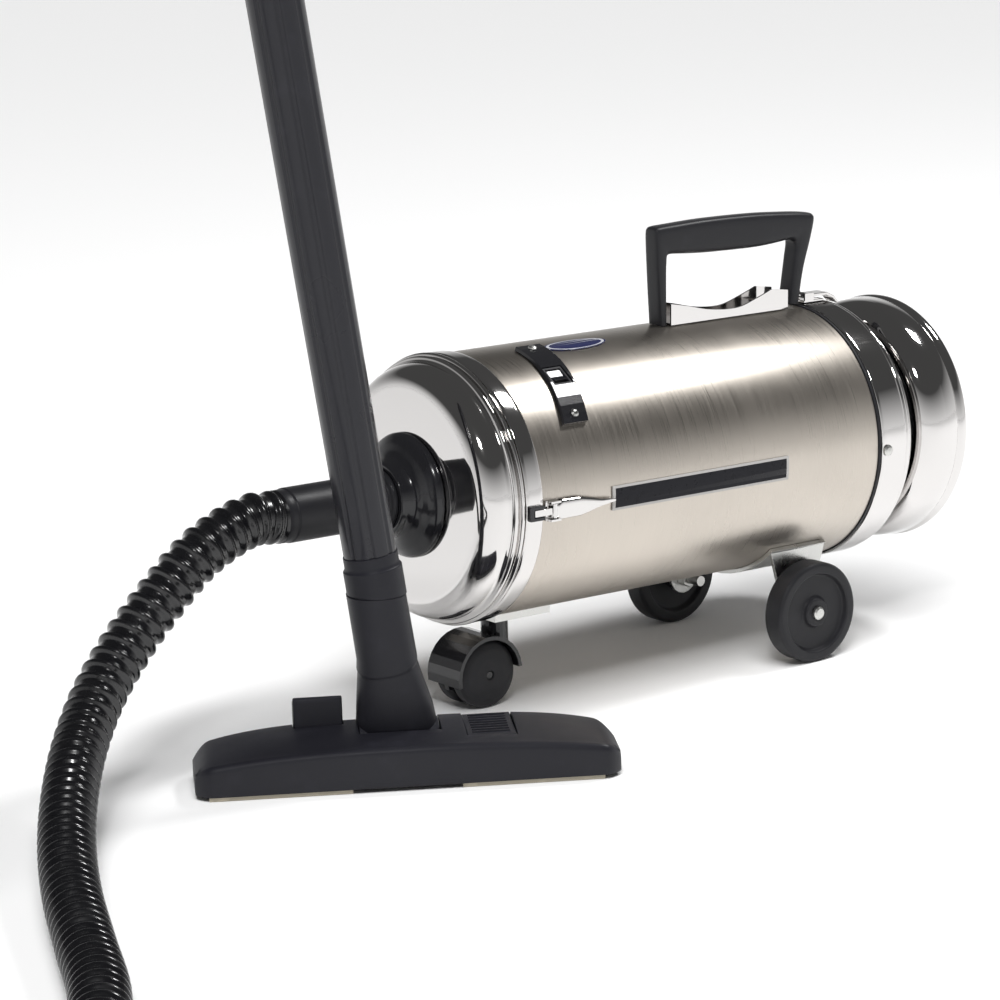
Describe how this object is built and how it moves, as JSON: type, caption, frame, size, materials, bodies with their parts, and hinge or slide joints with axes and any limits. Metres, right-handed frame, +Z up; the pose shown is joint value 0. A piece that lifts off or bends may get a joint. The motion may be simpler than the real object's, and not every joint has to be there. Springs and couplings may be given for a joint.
{
  "type": "canister vacuum and blower",
  "caption": "Canister vacuum and blower: brushed steel drum on wheels with chrome ends, carrying handle, corrugated hose, wand and floor tool.",
  "frame": {"origin": "middle of the footprint of everything but the hose, on the floor", "axes": "+Z up; the drum lies along X with its inlet towards -X, tipped 1.6 degrees nose up; +Y is away from the nameplate side"},
  "size_m": [1.2876, 0.6166, 0.7444],
  "materials": {
    "brushed": "brushed stainless steel with a warm tint, grain along the drum",
    "chrome": "polished chrome plate",
    "zinc": "bright zinc plate",
    "gloss": "glossy black moulding",
    "matte": "satin black moulding",
    "rubber": "black rubber",
    "paper": "filter paper and cloth",
    "copper": "copper winding",
    "pale": "pale nylon glide",
    "label": "plain plate, no lettering"
  },
  "bodies": {
    "canister": {"body_tube": "brushed", "front_band": "chrome", "front_cap": "chrome", "inlet_collar": "gloss", "inlet_cuff": "matte", "hose": "matte", "filter_bag": "paper", "motor_bulkhead": "zinc", "motor_housing": "zinc", "stator": "copper", "bearing_front": "zinc", "bearing_rear": "zinc", "exhaust_filter": "paper", "rear_gasket": "rubber", "rear_band": "chrome", "end_cover": "chrome", "rear_neck": "matte", "rear_bowl": "chrome", "exhaust_grille": "matte", "blower_port": "gloss", "band_screw": "zinc", "handle_grip": "matte", "handle_channel": "chrome", "switch_strap": "gloss", "switch_housing": "matte", "strap_screw_lower": "zinc", "strap_screw_upper": "zinc", "name_plate": "label", "oval_badge": "label", "latch_base": "chrome", "latch_keeper": "gloss", "latch_hook": "chrome", "rear_latch_base": "chrome", "rear_bracket": "zinc", "caster_plate": "zinc", "axle_bolt_left": "zinc", "axle_bolt_right": "zinc", "axle_nut_left": "zinc", "axle_nut_right": "zinc", "wand_tube": "matte", "wand_collar": "matte", "bent_tube": "matte", "hose_cuff": "gloss"},
    "motor_rotor": {"rotor": "copper", "impeller": "zinc"},
    "switch_rocker": {"rocker": "gloss"},
    "front_lever": {"latch_lever": "chrome"},
    "rear_lever": {"rear_latch_lever": "chrome"},
    "caster": {"caster_hood": "gloss"},
    "caster_left_wheel": {"caster_wheel_left": "rubber"},
    "caster_right_wheel": {"caster_wheel_right": "rubber"},
    "rear_left_wheel": {"rear_wheel_left": "rubber"},
    "rear_right_wheel": {"rear_wheel_right": "rubber"},
    "tool_neck": {"neck": "matte"},
    "floor_tool": {"nozzle": "matte", "sole_front_left": "pale", "sole_front_right": "pale"},
    "left_pedal": {"pedal_left": "gloss"},
    "right_pedal": {"pedal_right": "gloss"},
    "brush": {"brush_strip": "matte"}
  },
  "joints": [
    {"name": "rotor_spin", "type": "hinge", "parent": "canister", "child": "motor_rotor", "pos_m": [0.22911, 0.05542, 0.15845], "axis": [0.9996, 0, -0.0273], "continuous": true},
    {"name": "switch_rock", "type": "hinge", "parent": "canister", "child": "switch_rocker", "pos_m": [0.05063, 0.00346, 0.24336], "axis": [0.9996, 0, -0.0273], "range_deg": [0, 16]},
    {"name": "front_latch_lever", "type": "hinge", "parent": "canister", "child": "front_lever", "pos_m": [0.00713, -0.04548, 0.16231], "axis": [-0.0273, 0, -0.9996], "range_deg": [0, 120]},
    {"name": "rear_latch_lever", "type": "hinge", "parent": "canister", "child": "rear_lever", "pos_m": [0.33389, 0.05542, 0.25903], "axis": [0, -1, 0], "range_deg": [0, 80]},
    {"name": "caster_swivel", "type": "hinge", "parent": "canister", "child": "caster", "pos_m": [0.0284, 0.05542, 0.06], "axis": [0, 0, 1], "continuous": true},
    {"name": "caster_left_spin", "type": "hinge", "parent": "caster", "child": "caster_left_wheel", "pos_m": [0.0094, 0.05542, 0.025], "axis": [0, 1, 0], "continuous": true},
    {"name": "caster_right_spin", "type": "hinge", "parent": "caster", "child": "caster_right_wheel", "pos_m": [0.0094, 0.05542, 0.025], "axis": [0, 1, 0], "continuous": true},
    {"name": "rear_left_spin", "type": "hinge", "parent": "canister", "child": "rear_left_wheel", "pos_m": [0.2652, 0.05542, 0.038], "axis": [0, 1, 0], "continuous": true},
    {"name": "rear_right_spin", "type": "hinge", "parent": "canister", "child": "rear_right_wheel", "pos_m": [0.2652, 0.05542, 0.038], "axis": [0, 1, 0], "continuous": true},
    {"name": "neck_swivel", "type": "hinge", "parent": "canister", "child": "tool_neck", "pos_m": [-0.1477, -0.04183, 0.13], "axis": [0, 0, 1], "range_deg": [-80, 40]},
    {"name": "tool_pitch", "type": "hinge", "parent": "tool_neck", "child": "floor_tool", "pos_m": [-0.13278, -0.04169, 0.021], "axis": [0.8492, -0.5281, 0], "range_deg": [0, 60]},
    {"name": "left_pedal_travel", "type": "slide", "parent": "floor_tool", "child": "left_pedal", "axis": [0, 0, -1], "range_m": [0, 0.012]},
    {"name": "right_pedal_travel", "type": "slide", "parent": "floor_tool", "child": "right_pedal", "axis": [0, 0, 1], "range_m": [0, 0.012]},
    {"name": "brush_travel", "type": "slide", "parent": "floor_tool", "child": "brush", "axis": [0, 0, -1], "range_m": [0, 0.0048]}
  ],
  "couplings": [
    {"joint": "right_pedal_travel", "follows": "left_pedal_travel", "ratio": 1},
    {"joint": "brush_travel", "follows": "left_pedal_travel", "ratio": 0.4}
  ]
}
